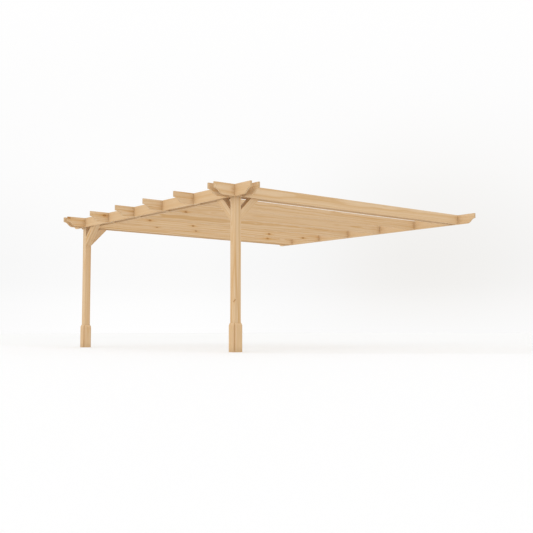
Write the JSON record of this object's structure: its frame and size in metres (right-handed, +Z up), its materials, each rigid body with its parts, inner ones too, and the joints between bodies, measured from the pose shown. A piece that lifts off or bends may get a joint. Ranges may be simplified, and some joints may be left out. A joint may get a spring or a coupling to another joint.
{
  "type": "attached patio cover",
  "caption": "Wall-mounted open timber pergola: level boards with sculpted ends, halved across each other, carried by a wall beam and by braced front posts in board boots.",
  "frame": {"origin": "centre of the wall beam's back face, which lies on the house wall", "axes": "+X to the right along the wall as one faces it, +Y into the wall, +Z up"},
  "size_m": [4.7, 4.7, 2.05],
  "materials": {
    "beam_timber": "planed softwood, untreated, matt",
    "rafter_timber": "planed softwood, untreated, matt",
    "post_timber": "planed softwood, untreated, matt",
    "beam_brace_timber": "planed softwood, untreated, matt",
    "rafter_brace_timber": "planed softwood, untreated, matt",
    "boot_timber": "planed softwood, untreated, matt"
  },
  "bodies": {
    "root": {"wall_beam": "beam_timber", "front_beam_outer": "beam_timber", "front_beam_inner": "beam_timber", "rafter_left_outer": "rafter_timber", "rafter_left_inner": "rafter_timber", "rafter_middle_1": "rafter_timber", "rafter_middle_2": "rafter_timber", "rafter_middle_3": "rafter_timber", "rafter_middle_4": "rafter_timber", "rafter_right_inner": "rafter_timber", "rafter_right_outer": "rafter_timber", "post_left": "post_timber", "post_right": "post_timber", "brace_left_beam": "beam_brace_timber", "brace_right_beam": "beam_brace_timber", "brace_left_rafter": "rafter_brace_timber", "brace_right_rafter": "rafter_brace_timber", "boot_left_inner": "boot_timber", "boot_left_outer": "boot_timber", "boot_left_back": "boot_timber", "boot_left_front": "boot_timber", "boot_right_inner": "boot_timber", "boot_right_outer": "boot_timber", "boot_right_back": "boot_timber", "boot_right_front": "boot_timber"}
  },
  "joints": []
}
